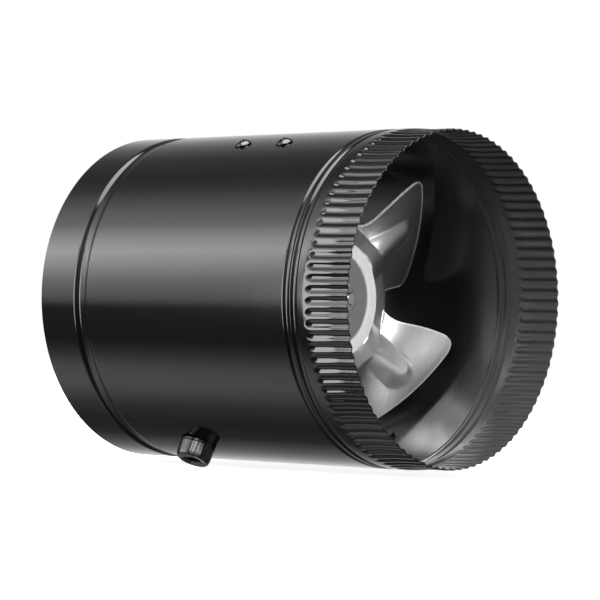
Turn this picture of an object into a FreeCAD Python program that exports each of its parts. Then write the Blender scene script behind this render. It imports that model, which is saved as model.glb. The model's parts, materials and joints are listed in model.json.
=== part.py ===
import FreeCAD, Part
import Sketcher
import math
import os
import re

# Inline duct fan for a round 6 inch duct, millimetres, +Z up.
# X runs along the duct from the plain inlet collar (x = 0) to the crimped outlet rim.
# The origin is the centre of the inlet mouth. The motor hangs on a strap bracket that
# crosses the duct, and the stamped fan blows towards the crimped end.

Vector = FreeCAD.Vector
AXIS_X = Vector(1, 0, 0)
AXIS_Y = Vector(0, 1, 0)

DIMENSIONS = {
    # sheet steel sleeve
    "ductRadius": 76.2, "ductWall": 0.6, "ductLength": 185.0,
    "beadStart": 21.4, "beadWidth": 8.8, "beadDepth": 1.2,
    "ringStart": 149.4, "ringWidth": 4.2, "ringDepth": 0.7,
    "taperStart": 157.8, "crimpStart": 161.3, "crimpRadius": 75.4, "crimpDepth": 1.2,
    "crimpCount": 96, "crimpRamp": 0.12,
    # strap bracket and the four screws that hold it to the sleeve
    "strapTilt": 24.5, "strapFace": 76.5, "strapSheet": 1.5, "strapWidth": 26.0, "strapLip": 39.5,
    "strapGap": 0.05, "strapBore": 18.0, "screwFirst": 83.9, "screwPitch": 25.1,
    "boltRadius": 1.95, "boltHole": 2.2, "panRadius": 3.9, "panHeight": 2.4, "boltTip": 70.6,
    "washerThick": 0.8, "washerRadius": 4.5, "nutAcross": 7.0, "nutHeight": 2.3,
    "lipHollow": 0.16, "crossLong": 4.3, "crossWide": 0.9, "crossDeep": 1.4,
    "cheeseRadius": 3.5, "cheeseHeight": 2.6, "slotDeep": 1.0,
    "tieNutHeight": 3.2, "tieSpare": 1.5, "earthPlace": 58.0, "earthEye": 4.0, "earthTail": 12.2,
    # motor, centred on the stator
    "motorCentre": 55.0, "stackThick": 22.0, "stackHalf": 30.0, "stackTop": 26.0, "stackFoot": 57.0,
    "windowStart": 20.0, "windowHalf": 17.0, "yokeWide": 13.0, "boreRadius": 16.5, "airGap": 0.3,
    "tieRadius": 24.0, "bobbinWall": 1.0, "bobbinHalf": 16.0, "coilBuild": 8.0, "tapeThick": 0.3,
    "tapeInset": 4.0,
    "ringBar": 2.2, "ringSeat": 17.85, "ringSpread": 36.0, "ringOverhang": 2.6,
    "bridgeThick": 3.0, "bridgeHalf": 28.5, "bridgeWide": 18.0, "postHeight": 6.0, "postRadius": 4.5,
    "cupRadius": 12.0, "cupDepth": 11.0, "cupCavity": 8.0, "cupEnd": 1.0, "cupHole": 4.0,
    "bearingLong": 8.0, "bearingRadius": 7.9, "felt": 1.0, "feltBore": 3.6, "runningGap": 0.03,
    "shaftRadius": 3.0, "shaftTail": 22.5, "shaftNose": 124.0,
    "cageThick": 5.0, "cageInner": 9.0, "cageOuter": 15.8, "collarRadius": 5.5, "collarLong": 3.5,
    "grommetRadius": 7.0, "grommetSeat": 5.0, "grommetLip": 1.5,
    # strain relief bushing
    "bushingPlace": 62.8, "bushingAngle": 243.0, "bushingHole": 6.35, "bushingHead": 8.4,
    "bushingLip": 2.6, "bushingNeck": 7.7, "bushingOut": 8.4, "bushingIn": 8.0,
    "slotLong": 8.0, "slotWide": 5.4, "ribRadius": 0.6, "ribCount": 12,
    "leadRadius": 1.0, "capRadius": 2.6, "capLength": 14.0,
    # stamped fan and its hub
    "rimPlace": 116.2, "rimOuter": 26.2, "rimInner": 21.6, "floorPlace": 114.2, "flangePlace": 112.4,
    "flangeRadius": 37.5, "bladeSheet": 1.0, "bladeTip": 68.6, "bladeCount": 5, "ribAngle": 35.0,
    "bladeLead": 28.0, "bladeTrail": 23.5, "bladeRise": 5.6, "bladePitch": 0.70, "bladeRoot": 36.0,
    "hubRadius": 7.0, "hubFlange": 13.0, "hubBack": 104.0, "hubFront": 121.0, "hubFlangeThick": 2.5,
    "rivetCircle": 10.0, "rivetCount": 4, "rivetRadius": 1.2, "rivetHead": 2.1, "rivetCap": 0.9,
    "setScrewPlace": 117.8,
}

doc = FreeCAD.newDocument("inline_duct_fan")
sheet = doc.addObject("Spreadsheet::Sheet", "Dimensions")
nodes = []


def fill_sheet():
    for row, (name, number) in enumerate(DIMENSIONS.items(), start=1):
        sheet.set("A%d" % row, name)
        sheet.set("B%d" % row, str(number))
        sheet.setAlias("B%d" % row, name)
    doc.recompute()


def size(name):
    return float(sheet.get(name))


def bound(text):
    # writes a formula of plain words as a formula on the sheet's cells
    return re.sub(r"[A-Za-z]+", lambda word: "Dimensions." + word.group(0), str(text))


def keep(piece, label, tilted=False):
    # a finished sub-part: motor pieces are drawn with the strap upright and tilt with it
    piece.Label = label
    if tilted:
        piece.Placement = FreeCAD.Placement(Vector(), FreeCAD.Rotation(AXIS_X, size("strapTilt")))
        piece.setExpression("Placement.Rotation.Angle", bound("strapTilt"))
    nodes.append(piece)
    return piece


# ---- Part primitives whose sizes are bound to the sheet ----

def place(piece, x, y, z, rotation=None):
    if rotation is not None:
        piece.Placement = FreeCAD.Placement(Vector(), rotation)
    for axis, text in zip("xyz", (x, y, z)):
        piece.setExpression("Placement.Base." + axis, bound(text))
    return piece


def rod(radius, length, x, y="0", z="0"):
    # a round bar along X that starts at x
    bar = doc.addObject("Part::Cylinder", "rod")
    bar.setExpression("Radius", bound(radius))
    bar.setExpression("Height", bound(length))
    return place(bar, x, y, z, FreeCAD.Rotation(AXIS_Y, 90))


def block(x, y, z, long, wide, high):
    # a box from its low corner
    box = doc.addObject("Part::Box", "block")
    for name, text in (("Length", long), ("Width", wide), ("Height", high)):
        box.setExpression(name, bound(text))
    return place(box, x, y, z)


def post(radius, low, high):
    # a round bar along Z between two heights
    bar = doc.addObject("Part::Cylinder", "post")
    bar.setExpression("Radius", bound(radius))
    bar.setExpression("Height", bound("(%s) - (%s)" % (high, low)))
    return place(bar, "0", "0", low)


def hexagon(across, low, high):
    # a hexagon bar along Z between two heights
    bar = doc.addObject("Part::Prism", "hexagon")
    bar.Polygon = 6
    bar.setExpression("Circumradius", bound("(%s) / 3 ^ 0.5" % across))
    bar.setExpression("Height", bound("(%s) - (%s)" % (high, low)))
    return place(bar, "0", "0", low)


def fuse(*pieces):
    joined = doc.addObject("Part::MultiFuse", "joined")
    joined.Shapes = list(pieces)
    return joined


def cut(base, *tools):
    result = doc.addObject("Part::Cut", "cut")
    result.Base = base
    result.Tool = tools[0] if len(tools) == 1 else fuse(*tools)
    return result


def common(*pieces):
    result = doc.addObject("Part::MultiCommon", "shared")
    result.Shapes = list(pieces)
    return result


def group(pieces):
    together = doc.addObject("Part::Compound", "group")
    together.Links = list(pieces)
    return together


def tube(outer, inner, length, x, y="0", z="0"):
    return cut(rod(outer, length, x, y, z), rod(inner, length, x, y, z))


def stand(piece, x, angle):
    # turns a piece drawn along +Z so that it stands on the duct wall at this place and angle
    turn = FreeCAD.Rotation(AXIS_X, angle - 90)
    piece.Placement = FreeCAD.Placement(Vector(x, 0, 0), turn)
    return piece


# ---- PartDesign bodies whose sketches are bound to the sheet ----

def new_body(label):
    body = doc.addObject("PartDesign::Body", label)
    body.AllowCompound = True
    return body


def add_sketch(body, role, offset="0"):
    sketch = body.newObject("Sketcher::SketchObject", "outline")
    planes = [plane for plane in body.Origin.OriginFeatures if plane.Role == role]
    sketch.AttachmentSupport = (planes[0], [""])
    sketch.MapMode = "FlatFace"
    sketch.setExpression("AttachmentOffset.Base.z", bound(offset))
    return sketch


def add_polygon(sketch, corners):
    # a closed outline, each corner held by two distances from the origin
    count = len(corners)
    first = sketch.GeometryCount
    turns = [2 * math.pi * i / count for i in range(count)]
    ring = [Vector(math.cos(turn), math.sin(turn), 0) for turn in turns]
    for i in range(count):
        sketch.addGeometry(Part.LineSegment(ring[i], ring[(i + 1) % count]), False)
    for i in range(count):
        sketch.addConstraint(Sketcher.Constraint("Coincident", first + i, 2, first + (i + 1) % count, 1))
    for i, corner in enumerate(corners):
        for kind, text in zip(("DistanceX", "DistanceY"), corner):
            row = sketch.addConstraint(Sketcher.Constraint(kind, first + i, 1, 1.0))
            sketch.setExpression("Constraints[%d]" % row, bound(text))


def add_circle(sketch, x, y, radius):
    spot = sketch.addGeometry(Part.Circle(Vector(1, 1, 0), Vector(0, 0, 1), 1.0), False)
    for kind, text in (("DistanceX", x), ("DistanceY", y)):
        row = sketch.addConstraint(Sketcher.Constraint(kind, spot, 3, 1.0))
        sketch.setExpression("Constraints[%d]" % row, bound(text))
    row = sketch.addConstraint(Sketcher.Constraint("Radius", spot, 1.0))
    sketch.setExpression("Constraints[%d]" % row, bound(radius))


def turned(label, corners):
    # a body turned about the X axis from a closed outline of (x, radius) corners
    body = new_body(label)
    sketch = add_sketch(body, "XZ_Plane")
    add_polygon(sketch, corners)
    turn = body.newObject("PartDesign::Revolution", "turn")
    turn.Profile = sketch
    turn.ReferenceAxis = (sketch, ["H_Axis"])
    turn.Angle = 360
    return body


def plate(label, x, thick, draw):
    # a body padded along +X from a sketch in the YZ plane
    body = new_body(label)
    sketch = add_sketch(body, "YZ_Plane", x)
    draw(sketch)
    pad = body.newObject("PartDesign::Pad", "pad")
    pad.Profile = sketch
    pad.setExpression("Length", bound(thick))
    return body


# ---- sleeve ----

def groove_corners(start, wide, deep, radius):
    # four corners of a rolled groove with sloping flanks
    floor = "%s - %s" % (radius, deep)
    return [(start, radius), ("%s + %s / 3" % (start, wide), floor),
            ("%s + %s * 2 / 3" % (start, wide), floor), ("%s + %s" % (start, wide), radius)]


def wall_line(radius, rim):
    line = [("0", radius)]
    line += groove_corners("beadStart", "beadWidth", "beadDepth", radius)
    line += groove_corners("ringStart", "ringWidth", "ringDepth", radius)
    line += [("taperStart", radius), ("crimpStart", rim), ("crimpStart + ductWall", rim)]
    return line


def crimp_ring():
    # the fluted end: flat ridges and valleys in turn, with short ramps between them
    count = int(size("crimpCount"))
    start = size("crimpStart")
    pitch = 360.0 / count
    ramp = size("crimpRamp")
    places = ((ramp / 2, 0), (0.5 - ramp / 2, 0), (0.5 + ramp / 2, 1), (1 - ramp / 2, 1))

    def fluted(radius):
        corners = []
        for tooth in range(count):
            for part, drop in places:
                angle = math.radians((tooth + part) * pitch)
                reach = radius - drop * size("crimpDepth")
                corners.append(Vector(start, reach * math.cos(angle), reach * math.sin(angle)))
        return Part.makePolygon(corners + corners[:1])

    outer = Part.Face(fluted(size("crimpRadius")))
    inner = Part.Face(fluted(size("crimpRadius") - size("ductWall")))
    ring = doc.addObject("Part::Feature", "crimps")
    ring.Shape = outer.cut(inner).extrude(AXIS_X * (size("ductLength") - start))
    return ring


def make_sleeve():
    outer = wall_line("ductRadius", "crimpRadius")
    inner = wall_line("ductRadius - ductWall", "crimpRadius - ductWall - crimpDepth")
    inner[-1] = ("crimpStart + ductWall", "crimpRadius - ductWall - crimpDepth")
    inner[-2] = ("crimpStart", "crimpRadius - ductWall")
    inner.insert(-1, ("crimpStart", "crimpRadius - ductWall - crimpDepth"))
    wall = turned("sleeve_wall", outer + inner[::-1])
    holes = []
    for angle in (90 + size("strapTilt"), 270 + size("strapTilt")):
        for number in range(2):
            hole = post("boltHole", "crimpRadius - crimpDepth - 10", "ductRadius + 5")
            x = size("screwFirst") + number * size("screwPitch")
            holes.append(stand(group([hole]), x, angle))
    entry = post("bushingHole", "ductRadius - 12", "ductRadius + 5")
    holes.append(stand(group([entry]), size("bushingPlace"), size("bushingAngle")))
    keep(cut(fuse(wall, crimp_ring()), *holes), "duct_sleeve")


# ---- strap bracket ----

def make_bracket():
    # a flat cross plate that carries the motor, and two curved tabs welded to its ends
    reach = "ductRadius - ductWall - strapGap"
    band = ("strapLip", "strapWidth", "2 * ductRadius")
    tabs = common(tube(reach, "%s - strapSheet" % reach, "strapLip", "strapFace"),
                  block("strapFace", "-strapWidth / 2", "-ductRadius", *band))
    plate_bar = common(rod("%s - strapSheet" % reach, "strapSheet", "strapFace"),
                       block("strapFace", "-strapWidth / 2", "-ductRadius", *band))
    # the plate widens to a round boss, so that the bearing cup's opening leaves metal beside it
    boss = rod("strapBore + 8", "strapSheet", "strapFace")
    through = ("4 * strapSheet", "strapFace - strapSheet", "0")
    openings = [rod("strapBore", *through)]
    for side in ("", "-"):
        openings.append(rod("grommetSeat", *through, side + "tieRadius"))
    openings.append(rod("boltHole", *through, "-earthPlace"))
    keep(cut(fuse(plate_bar, boss), *openings), "motor_bracket", tilted=True)
    screw_holes = []
    for number in range(2):
        hole = post("boltHole", "-ductRadius", "ductRadius")
        hole.setExpression("Placement.Base.x", bound("screwFirst + %d * screwPitch" % number))
        screw_holes.append(hole)
    keep(cut(tabs, *screw_holes), "bracket_tabs", tilted=True)


def wall_fasteners(draw):
    # four copies on the wall: two in a row on each lip of the strap
    copies = []
    for turn in (90, 270):
        for number in range(2):
            x = size("screwFirst") + number * size("screwPitch")
            copies.append(stand(draw(), x, turn + size("strapTilt")))
    return group(copies)


def pan_screw():
    shank = post("boltRadius", "boltTip", "ductRadius")
    head = doc.addObject("Part::Sphere", "dome")
    head.setExpression("Radius", bound("panRadius * 1.45"))
    place(head, "0", "0", "ductRadius + panHeight - panRadius * 1.45")
    rounded = common(head, post("panRadius", "ductRadius", "ductRadius + panHeight"))
    floor = "ductRadius + panHeight - crossDeep"
    recess = [block("-crossLong / 2", "-crossWide / 2", floor, "crossLong", "crossWide", "panHeight"),
              block("-crossWide / 2", "-crossLong / 2", floor, "crossWide", "crossLong", "panHeight")]
    return cut(fuse(shank, rounded), *recess)


def wall_washer():
    top = "ductRadius - ductWall - strapGap - strapSheet - lipHollow"
    ring = post("washerRadius", top + " - washerThick", top)
    return cut(ring, post("boltHole", top + " - 5", top + " + 5"))


def wall_nut():
    top = "ductRadius - ductWall - strapGap - strapSheet - lipHollow - washerThick"
    nut = hexagon("nutAcross", top + " - nutHeight", top)
    return cut(nut, post("boltRadius", top + " - 5", top + " + 5"))


def make_bracket_fasteners():
    keep(wall_fasteners(pan_screw), "bracket_screws")
    keep(wall_fasteners(wall_washer), "bracket_washers")
    keep(wall_fasteners(wall_nut), "bracket_nuts")


def make_grommets():
    # rubber rings that grip the strap's edge and take the motor's two tie screws
    rings = []
    for side in ("", "-"):
        z = side + "tieRadius"
        lips = [rod("grommetRadius", "grommetLip", x, "0", z) for x in
                ("strapFace - grommetLip", "strapFace + strapSheet")]
        neck = rod("grommetSeat", "strapSheet", "strapFace", "0", z)
        rings.append(cut(fuse(neck, *lips), rod("boltHole", "20", "strapFace - 8", "0", z)))
    keep(group(rings), "bracket_grommets", tilted=True)


# ---- motor stator ----

def draw_core(sketch):
    add_polygon(sketch, [
        ("stackTop", "-stackHalf + 6"), ("stackTop", "stackHalf - 6"), ("stackTop - 6", "stackHalf"),
        ("-stackFoot", "stackHalf"), ("-stackFoot", "windowHalf"), ("-windowStart", "windowHalf"),
        ("-windowStart", "-windowHalf"), ("-stackFoot", "-windowHalf"), ("-stackFoot", "-stackHalf"),
        ("stackTop - 6", "-stackHalf")])
    add_circle(sketch, "0", "0", "boreRadius")
    add_circle(sketch, "0", "tieRadius", "boltHole")
    add_circle(sketch, "0", "-tieRadius", "boltHole")


def ring_seats(grow):
    # square seats for the shading rings, cut into the bore at two opposite pairs of places
    seats = []
    for centre in (45, 225):
        for side in (-0.5, 0.5):
            angle = math.radians(centre + side * size("ringSpread"))
            y = size("ringSeat") * math.cos(angle)
            z = size("ringSeat") * math.sin(angle)
            half = size("ringBar") / 2 + grow
            seats.append((y, z, half, centre))
    return seats


def square_bar(y, z, half, start, length):
    return block(repr(start), repr(y - half), repr(z - half), repr(length), repr(2 * half), repr(2 * half))


def make_stator():
    start = "motorCentre - stackThick / 2"
    core = plate("stator_laminations", start, "stackThick", draw_core)
    low = size("motorCentre") - size("stackThick") / 2
    seats = [square_bar(y, z, half, low - 1, size("stackThick") + 2) for y, z, half, _ in ring_seats(0)]
    keep(cut(core, *seats), "stator_core", tilted=True)
    yoke = block(start, "-stackFoot", "-windowHalf", "stackThick", "yokeWide", "2 * windowHalf")
    keep(group([yoke]), "stator_yoke", tilted=True)


def make_shading_rings():
    # each ring is two bars through the stack, joined across both faces
    over = size("ringOverhang")
    low = size("motorCentre") - size("stackThick") / 2 - over
    length = size("stackThick") + 2 * over
    seats = ring_seats(0)
    loops = []
    for first, second in ((seats[0], seats[1]), (seats[2], seats[3])):
        bars = [square_bar(y, z, half, low, length) for y, z, half, _ in (first, second)]
        span = math.hypot(first[0] - second[0], first[1] - second[1])
        middle = Vector(0, (first[0] + second[0]) / 2, (first[1] + second[1]) / 2)
        turn = FreeCAD.Rotation(AXIS_X, math.degrees(math.atan2(second[1] - first[1], second[0] - first[0])))
        for x in (low, low + length - size("ringBar") * 0.9):
            link = doc.addObject("Part::Box", "link")
            link.Length = size("ringBar") * 0.9
            link.Width = span
            link.Height = size("ringBar")
            corner = Vector(x, -span / 2, -size("ringBar") / 2)
            link.Placement = FreeCAD.Placement(middle + turn.multVec(corner), turn)
            bars.append(link)
        loops.append(fuse(*bars))
    keep(group(loops), "shading_rings", tilted=True)


def coil_block(grow, half):
    # a box round the yoke, grown on its four sides and centred along the yoke
    return block("motorCentre - stackThick / 2 - %s" % grow, "-stackFoot - %s" % grow, "-" + half,
                 "stackThick + 2 * %s" % grow, "yokeWide + 2 * %s" % grow, "2 * " + half)


def make_coil():
    build = "(bobbinWall + coilBuild)"
    cheeks = cut(coil_block("(bobbinWall + coilBuild + 0.5)", "bobbinHalf"),
                 coil_block("(bobbinWall + coilBuild + 2)", "(bobbinHalf - bobbinWall)"))
    bobbin = cut(fuse(cheeks, coil_block("bobbinWall", "bobbinHalf")), coil_block("0", "(bobbinHalf + 1)"))
    keep(bobbin, "coil_bobbin", tilted=True)
    winding = cut(coil_block(build, "(bobbinHalf - bobbinWall)"), coil_block("bobbinWall", "bobbinHalf"))
    keep(winding, "stator_coil", tilted=True)
    wrap = coil_block("(bobbinWall + coilBuild + tapeThick)", "(bobbinHalf - tapeInset)")
    tape = cut(wrap, coil_block(build, "bobbinHalf"))
    keep(tape, "coil_tape", tilted=True)


# ---- bearing brackets and bearings: drawn for the front, mirrored about the motor's centre ----

BEARING_SEAT = "postHeight + bridgeThick + cupDepth - cupEnd - felt - bearingLong"


def from_front(distance, length, mirrored):
    # x of a stretch that starts this far in front of the stack's front face
    if mirrored:
        return "motorCentre - stackThick / 2 - (%s) - (%s)" % (distance, length)
    return "motorCentre + stackThick / 2 + (%s)" % distance


def make_bearing_bracket(label, mirrored):
    def bar(radius, distance, length, z="0"):
        return rod(radius, length, from_front(distance, length, mirrored), "0", z)

    bridge = block(from_front("postHeight", "bridgeThick", mirrored), "-bridgeWide / 2", "-bridgeHalf",
                   "bridgeThick", "bridgeWide", "2 * bridgeHalf")
    solid = [bridge, bar("cupRadius", "postHeight", "bridgeThick + cupDepth")]
    hollow = [bar("cupCavity", "postHeight - 1", "1 + bridgeThick + cupDepth - cupEnd"),
              bar("cupHole", "postHeight", "bridgeThick + cupDepth + 2")]
    for side in ("", "-"):
        solid.append(bar("postRadius", "0", "postHeight", side + "tieRadius"))
        hollow.append(bar("boltHole", "-2", "postHeight + bridgeThick + 4", side + "tieRadius"))
    keep(cut(fuse(*solid), *hollow), label, tilted=True)


def make_bearing(label, mirrored):
    # a sintered bronze sleeve with bevelled ends
    start = from_front(BEARING_SEAT, "bearingLong", mirrored)
    bevel = "bearingRadius / 4"
    bore = "shaftRadius + runningGap"
    body = turned(label + "_turning", [
        (start, bore), (start, "bearingRadius - %s" % bevel), ("%s + %s" % (start, bevel), "bearingRadius"),
        ("%s + bearingLong - %s" % (start, bevel), "bearingRadius"),
        ("%s + bearingLong" % start, "bearingRadius - %s" % bevel), ("%s + bearingLong" % start, bore)])
    keep(body, label, tilted=True)


def make_bearings():
    for label, mirrored in (("front_bearing", False), ("rear_bearing", True)):
        make_bearing(label, mirrored)
        make_bearing_bracket(label + "_bracket", mirrored)
    felts = []
    clips = []
    for mirrored in (False, True):
        x = from_front("postHeight + bridgeThick + cupDepth - cupEnd - felt", "felt", mirrored)
        felts.append(tube("bearingRadius", "feltBore", "felt", x))
        clip = from_front(BEARING_SEAT + " - washerThick - 0.2", "washerThick", mirrored)
        clips.append(tube("bearingRadius", "shaftRadius + 2", "washerThick", clip))
    keep(group(felts), "oil_felts", tilted=True)
    keep(group(clips), "bearing_retainers", tilted=True)


def slotted_screw(seat, length, z):
    # a cheese-head screw along +X whose head bears on the plane x = seat
    head = rod("cheeseRadius", "cheeseHeight", "%s - cheeseHeight" % seat, "0", z)
    slot = block("%s - cheeseHeight - 1" % seat, "-cheeseRadius", "%s - crossWide / 2" % z,
                 "1 + slotDeep", "2 * cheeseRadius", "crossWide")
    return cut(fuse(rod("boltRadius", length, seat, "0", z), head), slot)


def make_tie_screws():
    # two long screws from the rear bearing bracket, through the stack, to the strap's grommets
    rear = "motorCentre - stackThick / 2 - postHeight - bridgeThick"
    seat = "strapFace + strapSheet + grommetLip"
    screws = []
    washers = []
    tie_nuts = []
    for side in ("", "-"):
        z = side + "tieRadius"
        tip = seat + " + washerThick + tieNutHeight + tieSpare"
        screws.append(slotted_screw(rear, "%s - (%s)" % (tip, rear), z))
        washers.append(tube("washerRadius + 1", "boltHole", "washerThick", seat, "0", z))
        nut = hexagon("nutAcross", "0", "tieNutHeight")
        place(nut, seat + " + washerThick", "0", z, FreeCAD.Rotation(AXIS_Y, 90))
        tie_nuts.append(cut(nut, rod("boltRadius", "4 * tieNutHeight", seat, "0", z)))
    keep(group(screws), "motor_tie_screws", tilted=True)
    keep(group(washers), "motor_tie_washers", tilted=True)
    keep(group(tie_nuts), "motor_tie_nuts", tilted=True)


# ---- rotor ----

def make_rotor():
    low = "motorCentre - stackThick / 2"
    high = "motorCentre + stackThick / 2"
    keep(tube("boreRadius - airGap", "shaftRadius", "stackThick", low), "rotor_core", tilted=True)
    ends = [tube("cageOuter", "cageInner", "cageThick", x) for x in (low + " - cageThick", high)]
    keep(group(ends), "rotor_cage", tilted=True)
    tail = "shaftRadius - 0.5"
    shaft = turned("shaft_turning", [
        ("shaftTail", "0"), ("shaftTail", tail), ("shaftTail + 0.5", "shaftRadius"),
        ("shaftNose - 0.5", "shaftRadius"), ("shaftNose", tail), ("shaftNose", "0")])
    keep(shaft, "motor_shaft")
    gap = "postHeight + bridgeThick - collarLong - 0.5"
    collars = [tube("collarRadius", "shaftRadius", "collarLong", from_front(gap, "collarLong", mirrored))
               for mirrored in (False, True)]
    keep(group(collars), "thrust_collars", tilted=True)


# ---- strain relief bushing ----

def make_bushing():
    head = post("bushingHead", "ductRadius", "ductRadius + bushingLip")
    neck = post("bushingNeck", "ductRadius", "ductRadius + bushingOut")
    barrel = post("bushingHole - 0.05", "ductRadius - ductWall - bushingIn", "ductRadius")
    slot = block("-slotLong / 2", "-slotWide / 2", "ductRadius - 20", "slotLong", "slotWide", "40")
    ribs = []
    count = int(size("ribCount"))
    for number in range(count):
        rib = post("ribRadius", "ductRadius + bushingLip", "ductRadius + bushingOut - ribRadius")
        turn = 360.0 * number / count
        rib.setExpression("Placement.Base.x", bound("bushingNeck") + " * cos(%g)" % turn)
        rib.setExpression("Placement.Base.y", bound("bushingNeck") + " * sin(%g)" % turn)
        ribs.append(rib)
    shell = cut(fuse(head, neck, barrel, *ribs), slot)
    keep(stand(group([shell]), size("bushingPlace"), size("bushingAngle")), "strain_relief_bushing")
    # the wedge that would grip a flat cord: it closes a third of the slot
    wedge = block("-slotLong / 2 + strapGap", "slotWide / 6", "ductRadius - bushingIn + 2",
                  "slotLong - 2 * strapGap", "slotWide / 3 - strapGap", "bushingIn + bushingOut - 4")
    keep(stand(group([wedge]), size("bushingPlace"), size("bushingAngle")), "strain_relief_wedge")


# ---- motor leads ----

def lead(label, points):
    # a wire of straight runs joined by tangent arcs, each as large as its runs allow
    radius = size("leadRadius")
    edges = []
    start = points[0]
    for before, corner, after in zip(points, points[1:], points[2:]):
        back = before - corner
        ahead = after - corner
        turn = math.pi - back.getAngle(ahead)
        trim = 0.45 * min(back.Length, ahead.Length)
        bend = trim / math.tan(turn / 2)
        near = corner + back.normalize() * trim
        far = corner + ahead.normalize() * trim
        middle = (near + far) / 2 - corner
        depth = bend / math.cos(turn / 2) - bend
        edges.append(Part.makeLine(start, near))
        edges.append(Part.Arc(near, corner + middle.normalize() * depth, far).toShape())
        start = far
        print("%s: arc of radius %.1f mm" % (label, bend))
    edges.append(Part.makeLine(start, points[-1]))
    path = Part.Wire(edges)
    ring = Part.Wire([Part.makeCircle(radius, points[0], points[1] - points[0])])
    wire = doc.addObject("Part::Feature", "wire")
    wire.Shape = path.makePipeShell([ring], True, True)
    expected = math.pi * radius ** 2 * path.Length
    if abs(wire.Shape.Volume / expected - 1) > 0.02:
        raise RuntimeError("the lead %s is not a full tube" % label)
    keep(wire, label, tilted=True)


def crimp_cap(base, heading):
    # a closed cap pressed on the end of a lead, in line with the lead's last run
    cap = doc.addObject("Part::Cylinder", "cap")
    cap.setExpression("Radius", bound("capRadius"))
    cap.setExpression("Height", bound("capLength"))
    cap.Placement = FreeCAD.Placement(base, FreeCAD.Rotation(Vector(0, 0, 1), heading))
    return cap


def make_wiring():
    # the winding's two leads run from the bobbin's cheek to closed crimp caps beside the bushing
    cheek = -size("bobbinHalf")
    caps = []
    for label, x, apart in (("lead_live", 46.0, 0.0), ("lead_neutral", 54.0, 2.0)):
        points = [Vector(x, -62, cheek), Vector(x, -62, cheek - 9), Vector(x + 1, -60, cheek - 17),
                  Vector(x + 2, -53 + apart, cheek - 23 - apart),
                  Vector(x + 3, -44 + apart, cheek - 26 - apart)]
        lead(label, points)
        caps.append(crimp_cap(points[-1], points[-1] - points[-2]))
    keep(group(caps), "lead_connectors", tilted=True)
    # earth: a ring terminal under a screw on the strap
    back = "strapFace - washerThick"
    eye = rod("earthEye", "washerThick", back, "0", "-earthPlace")
    tail = block(back, "0", "-earthPlace - 1.5", "washerThick", "earthTail", "3")
    clear = rod("boltHole", "4 * washerThick", "strapFace - 2 * washerThick", "0", "-earthPlace")
    keep(cut(fuse(eye, tail), clear), "earth_terminal", tilted=True)
    keep(slotted_screw(back, "6", "-earthPlace"), "earth_screw", tilted=True)


# ---- stamped fan ----

def blade_height(radius, angle):
    # x of the blade's back face: a helix about the rib that flattens towards the hub
    reach = max(0.0, (radius - size("bladeRoot")) / (size("bladeTip") - size("bladeRoot")))
    middle = size("flangePlace") - 1.2 + size("bladeRise") * reach
    return middle + size("bladePitch") * reach ** 0.8 * angle


def blade_sheet():
    # one curved surface through points of the formula, given its thickness along X
    rows = []
    for step in range(9):
        radius = size("bladeRoot") - 0.5 + step / 8.0 * (size("bladeTip") + 3 - size("bladeRoot"))
        row = []
        for turn in range(9):
            angle = -size("bladeLead") - 6 + turn / 8.0 * (size("bladeLead") + size("bladeTrail") + 12)
            flat = math.radians(angle)
            row.append(Vector(blade_height(radius, angle), radius * math.cos(flat), radius * math.sin(flat)))
        rows.append(row)
    surface = Part.BSplineSurface()
    surface.interpolate(rows)
    return surface.toShape().extrude(AXIS_X * size("bladeSheet"))


def blade_outline():
    # the blade seen along the shaft: root arc, two nearly radial edges, rounded tip corners
    def spot(radius, angle):
        flat = math.radians(angle)
        return Vector(0, radius * math.cos(flat), radius * math.sin(flat))

    root = size("bladeRoot") + 0.2
    tip = size("bladeTip")
    lead_edge = -size("bladeLead")
    trail_edge = size("bladeTrail")
    shoulder = tip - 6
    corner = 6

    def tip_corner(edge, inward):
        start = spot(shoulder, edge)
        middle = spot(tip - 1.6, edge + 1.6 * inward)
        return Part.Arc(start, middle, spot(tip, edge + corner * inward)).toShape()

    edges = [
        Part.Arc(spot(root, lead_edge), spot(root, 0), spot(root, trail_edge)).toShape(),
        Part.makeLine(spot(root, trail_edge), spot(shoulder, trail_edge)),
        tip_corner(trail_edge, -1),
        Part.Arc(spot(tip, trail_edge - corner), spot(tip, 0), spot(tip, lead_edge + corner)).toShape(),
        tip_corner(lead_edge, 1),
        Part.makeLine(spot(shoulder, lead_edge), spot(root, lead_edge))]
    outline = Part.Face(Part.Wire(edges))
    outline.translate(Vector(80, 0, 0))
    return outline.extrude(AXIS_X * 70)


def make_blades():
    blade = blade_sheet().common(blade_outline())
    copies = []
    for number in range(int(size("bladeCount"))):
        wing = doc.addObject("Part::Feature", "wing")
        wing.Shape = blade
        angle = size("ribAngle") + number * 360.0 / size("bladeCount")
        wing.Placement = FreeCAD.Placement(Vector(), FreeCAD.Rotation(AXIS_X, angle))
        copies.append(wing)
    back = "flangePlace - 1.6"
    dish = turned("dish", [
        (back, "flangeRadius"), ("flangePlace", "flangeRadius"), ("flangePlace", "rimOuter + 2.2"),
        ("flangePlace + 1.4", "rimOuter"), ("rimPlace", "rimOuter"), ("rimPlace", "rimInner"),
        ("floorPlace", "rimInner"), ("floorPlace", "hubRadius"), ("floorPlace - bladeSheet", "hubRadius"),
        ("floorPlace - bladeSheet", "rimInner + bladeSheet"),
        ("rimPlace - bladeSheet", "rimInner + bladeSheet"),
        ("rimPlace - bladeSheet", "rimOuter - bladeSheet"), (back, "rimOuter - bladeSheet")])
    keep(cut(fuse(dish, *copies), *rivet_holes()), "fan_blade")


def rivet_places():
    places = []
    for number in range(int(size("rivetCount"))):
        turn = 2 * math.pi * (number + 0.5) / size("rivetCount")
        reach = size("rivetCircle")
        places.append((repr(reach * math.cos(turn)), repr(reach * math.sin(turn))))
    return places


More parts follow.
